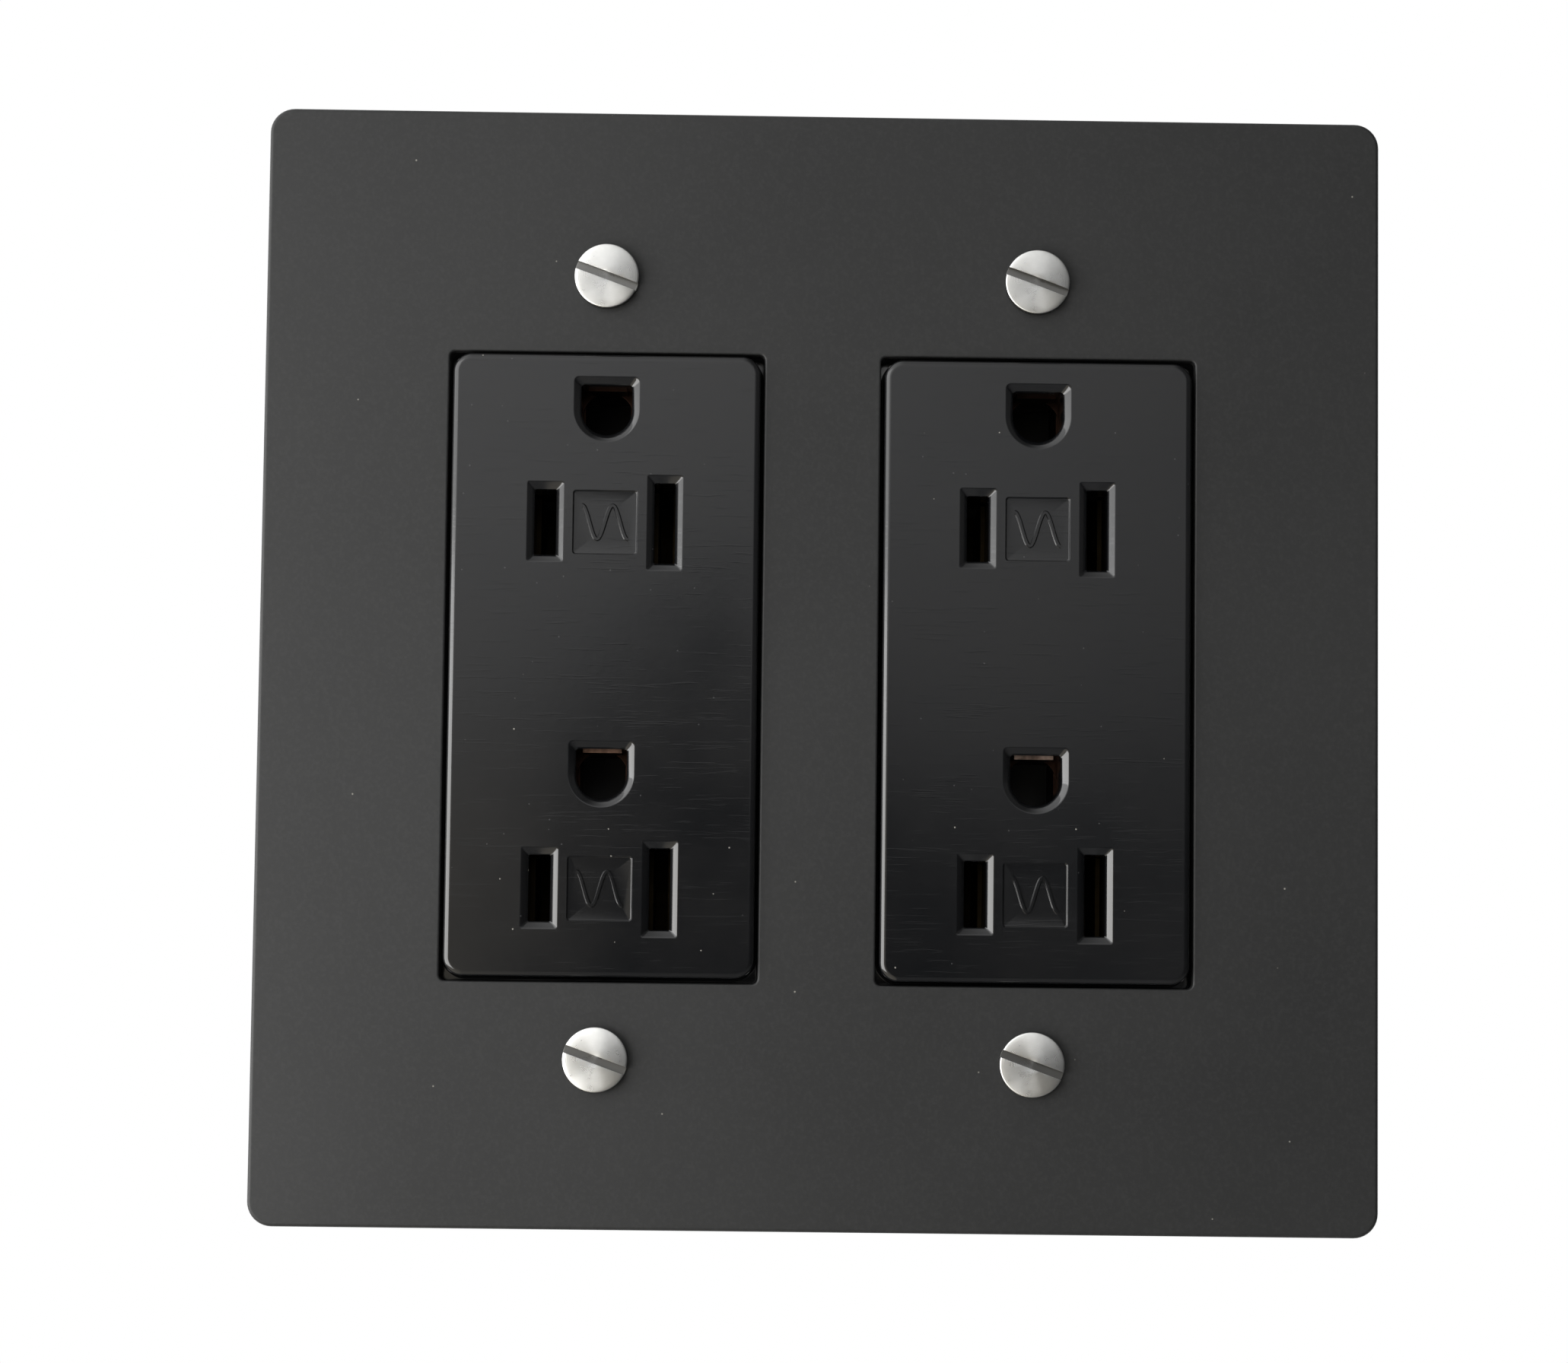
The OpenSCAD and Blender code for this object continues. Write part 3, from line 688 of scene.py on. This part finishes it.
def lacquer(name, colour):
    """Coloured lacquer over metal."""
    m = Nodes(name, Metallic=0.6, Coat_Weight=0.5, Coat_Roughness=0.2)
    cloud = m.noise(300, 3)
    m.set("Base Color", m.mix(cloud, tuple(0.7 * c for c in colour), colour))
    m.set("Roughness", m.maths("MULTIPLY_ADD", cloud, 0.2, 0.25))
    m.set("Normal", m.bump(m.noise(1500, 2), 0.01 * MM, 0.5))
    return m.material


def all_materials():
    made = {
        "plate_paint": powder_coat(),
        "face_plastic": glossy_black(),
        "body_plastic": satin_black(),
        "ground_copper": copper_tarnish_shade_and_glint(),
        "ground_screw_green": lacquer("ground_screw_green", SCREW_GREEN),
    }
    for name, (dark, light, rough, finish) in METALS.items():
        made[name] = metal(name, dark, light, rough, **finish)
    return made


def give(obj, material):
    obj.data.materials.clear()
    obj.data.materials.append(material)


def refine(obj, width):
    """Softens a CAD node's edges: the flat faces are joined first, then their edges are bevelled."""
    weld = obj.modifiers.new("weld", "WELD")
    weld.merge_threshold = 0.002 * MM
    flat = obj.modifiers.new("flat", "DECIMATE")
    flat.decimate_type = "DISSOLVE"
    flat.angle_limit = math.radians(1)
    soft = obj.modifiers.new("soft", "BEVEL")
    soft.width, soft.segments, soft.limit_method, soft.angle_limit = width, 2, "ANGLE", math.radians(40)
    soft.use_clamp_overlap = True
    soft.harden_normals = True


# ---------- light, floor and camera ----------

# Two window lights at the left: name, place, what it faces, and power
WINDOWS = (
    ("left_window", (-0.30, -0.21, -0.075), (0, 0, -0.045), 2.6),
    ("left_window_top", (-0.30, -0.21, 0.175), (0, 0, 0.205), 0.75),
)
WINDOW_SIZE = (0.45, 0.25)


def area_light(name, at, towards, power):
    light = bpy.data.lights.new(name, "AREA")
    light.shape = "RECTANGLE"
    light.size, light.size_y = WINDOW_SIZE
    light.energy = power
    obj = bpy.data.objects.new(name, light)
    obj.location = at
    obj.rotation_euler = (Vector(towards) - Vector(at)).to_track_quat("-Z", "Y").to_euler()
    obj.visible_camera = False
    bpy.context.scene.collection.objects.link(obj)


# The room that the glossy faces mirror, by direction. It is bright above a dark edge near eye level.
# The edge rises smoothly in front of the outlet, where the photographer stood. It wanders with a soft noise.
ROOM_DARK = 0.06
ROOM_LOW_LEFT = 0.95
ROOM_LOW_LEFT_END = (-0.075, -0.030)
ROOM_LOW_RIGHT = 0.32
ROOM_LOW_RIGHT_END = (0.070, 0.105)
ROOM_WARM = (1.0, 0.93, 0.80, 1)
ROOM_BRIGHT = 1.12
ROOM_EDGE = 0.050
ROOM_EDGE_SOFT = 0.022
EDGE_RISE = 0.045
EDGE_RISE_AT = 0.0
EDGE_RISE_HALF = 0.032
WANDER = 0.05
WANDER_SCALE = 14.0
# How the brightness changes with height and from left to right: from, to, level at from, level at to
ROOM_SLOPE = (0.02, 0.20, 0.62, 1.15)
ROOM_UPPER = (0.5, 0.95, 1.0, 0.75)
ROOM_ACROSS = (-0.45, 0.45, 1.8, 0.14)
# Light added behind the outlet and below it, in the same form
GLOW_BEHIND = (0.0, 0.4, 0.0, 0.9)
GLOW_BELOW = (-0.15, -0.6, 0.0, 0.2)


def build_world():
    """Lights the part by direction. The camera itself sees plain white."""
    world = bpy.data.worlds.new("studio")
    world.use_nodes = True
    bpy.context.scene.world = world
    tree = world.node_tree
    background = tree.nodes["Background"]
    way = tree.nodes.new("ShaderNodeTexCoord").outputs["Generated"]
    split = tree.nodes.new("ShaderNodeSeparateXYZ")
    tree.links.new(way, split.inputs[0])
    x, y, z = split.outputs

    def fade(value, low, high, to_low, to_high):
        node = tree.nodes.new("ShaderNodeMapRange")
        node.interpolation_type = "SMOOTHSTEP"
        for socket, number in zip(node.inputs[:5], (value, low, high, to_low, to_high)):
            join(socket, number)
        return node.outputs[0]

    def join(socket, value):
        if hasattr(value, "is_linked"):
            tree.links.new(value, socket)
        else:
            socket.default_value = value

    def maths(operation, a, b=0.0):
        node = tree.nodes.new("ShaderNodeMath")
        node.operation = operation
        join(node.inputs[0], a)
        join(node.inputs[1], b)
        return node.outputs[0]

    cloud = tree.nodes.new("ShaderNodeTexNoise")
    cloud.inputs["Scale"].default_value = WANDER_SCALE
    tree.links.new(way, cloud.inputs["Vector"])
    wander = maths("MULTIPLY", maths("SUBTRACT", cloud.outputs["Fac"], 0.5), WANDER)
    aside = maths("DIVIDE", maths("SUBTRACT", x, EDGE_RISE_AT), EDGE_RISE_HALF)
    rise = maths("EXPONENT", maths("MULTIPLY", maths("MULTIPLY", aside, aside), -1.0))
    edge = maths("ADD", maths("ADD", ROOM_EDGE, wander), maths("MULTIPLY", rise, EDGE_RISE))
    above = maths("DIVIDE", maths("SUBTRACT", z, edge), ROOM_EDGE_SOFT)
    below = maths("ADD", fade(x, *ROOM_LOW_LEFT_END, ROOM_LOW_LEFT, ROOM_DARK),
                  fade(x, *ROOM_LOW_RIGHT_END, 0.0, ROOM_LOW_RIGHT))
    bright = fade(above, -1.0, 1.0, below, ROOM_BRIGHT)
    slope = fade(z, *ROOM_SLOPE)
    across = fade(x, *ROOM_ACROSS)
    upper = fade(z, *ROOM_UPPER)
    room = maths("MULTIPLY", maths("MULTIPLY", bright, slope), maths("MULTIPLY", across, upper))
    for direction, glow in ((y, GLOW_BEHIND), (z, GLOW_BELOW)):
        room = maths("ADD", room, fade(direction, *glow))
    ray = tree.nodes.new("ShaderNodeLightPath").outputs["Is Camera Ray"]
    seen = tree.nodes.new("ShaderNodeMix")
    join(seen.inputs[0], ray)
    join(seen.inputs[2], room)
    seen.inputs[3].default_value = 1.0
    tree.links.new(seen.outputs[0], background.inputs["Strength"])
    corner = maths("MULTIPLY", fade(x, *ROOM_LOW_LEFT_END, 1.0, 0.0), fade(above, -1.0, 1.0, 1.0, 0.0))
    corner = maths("MULTIPLY", corner, maths("SUBTRACT", 1.0, ray))
    tint = tree.nodes.new("ShaderNodeMix")
    tint.data_type = "RGBA"
    join(tint.inputs[0], maths("MULTIPLY", corner, fade(y, -0.1, 0.1, 1.0, 0.0)))
    tint.inputs[6].default_value = (1, 1, 1, 1)
    tint.inputs[7].default_value = ROOM_WARM
    tree.links.new(tint.outputs[2], background.inputs["Color"])


FLOOR_R = 0.8
FLOOR_BELOW = 0.09
FLOOR_PALE = (0.82, 0.82, 0.81, 1)


def build_floor():
    """A pale round floor below the outlet. Glossy surfaces don't mirror it."""
    bm = bmesh.new()
    bmesh.ops.create_circle(bm, cap_ends=True, segments=96, radius=FLOOR_R)
    mesh = bpy.data.meshes.new("floor")
    bm.to_mesh(mesh)
    bm.free()
    floor = bpy.data.objects.new("floor", mesh)
    floor.location = (0, 0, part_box("wall_plate")[0].z - FLOOR_BELOW)
    bpy.context.scene.collection.objects.link(floor)
    m = Nodes("pale_floor", Roughness=0.8)
    m.shader.inputs["Base Color"].default_value = FLOOR_PALE
    m.shader.inputs["Emission Color"].default_value = (1, 1, 1, 1)
    m.shader.inputs["Emission Strength"].default_value = 0.12
    give(floor, m.material)
    floor.visible_glossy = False


CAMERA_AT = Vector((-9.6, -425.5, -33.8)) * MM
# Turns of the camera's own axes: tilt about its right, swing about its up, roll about its forward
CAMERA_TURNS = (("X", 4.41), ("Y", -0.82), ("Z", -0.75))
LENS = 90.98


def build_camera():
    data = bpy.data.cameras.new("camera")
    data.sensor_width = 36
    data.lens = LENS
    data.clip_start = 0.01
    camera = bpy.data.objects.new("camera", data)
    view = Matrix(((1, 0, 0), (0, 0, 1), (0, 1, 0)))
    for axis, degrees in CAMERA_TURNS:
        view = Matrix.Rotation(math.radians(degrees), 3, axis) @ view
    right, up, forward = view
    camera.matrix_world = Matrix.Translation(CAMERA_AT) @ Matrix((right, up, -forward)).transposed().to_4x4()
    bpy.context.scene.collection.objects.link(camera)
    bpy.context.scene.camera = camera


# ---------- the scene ----------

build_camera()
build_world()
build_floor()
for window in WINDOWS:
    area_light(*window)

MATERIALS = all_materials()
give(build_plate(), MATERIALS["plate_paint"])
for side in SIDES:
    give(build_face(side), MATERIALS["face_plastic"])
for screw in build_box_screws():
    give(screw, MATERIALS["box_screw_steel"])
for screw, slot in build_terminal_screws():
    give(screw, MATERIALS[slot])

# CAD nodes that stay: node name part, material, and width of their softened edges in millimetres
KEPT = (("rear_body", "body_plastic", 0.25), ("mounting_strap", "strap_zinc", 0.12),
        ("hot_contact_strip", "contact_brass", 0.08), ("neutral_contact_strip", "contact_brass", 0.08),
        ("ground_contact_strip", "ground_copper", 0.06), ("ground_rivets", "contact_brass", 0.15),
        ("assembly_screws", "screw_zinc", 0.1), ("hot_clamp_upper", "clamp_zinc", 0.12),
        ("hot_clamp_lower", "clamp_zinc", 0.12), ("neutral_clamp_upper", "clamp_zinc", 0.12),
        ("neutral_clamp_lower", "clamp_zinc", 0.12), ("ground_clamp", "clamp_zinc", 0.12))
for part, slot, width in KEPT:
    for side in SIDES:
        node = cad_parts[f"{side}_{part}"]
        give(node, MATERIALS[slot])
        refine(node, width * MM)

bpy.context.scene.view_settings.view_transform = "Standard"
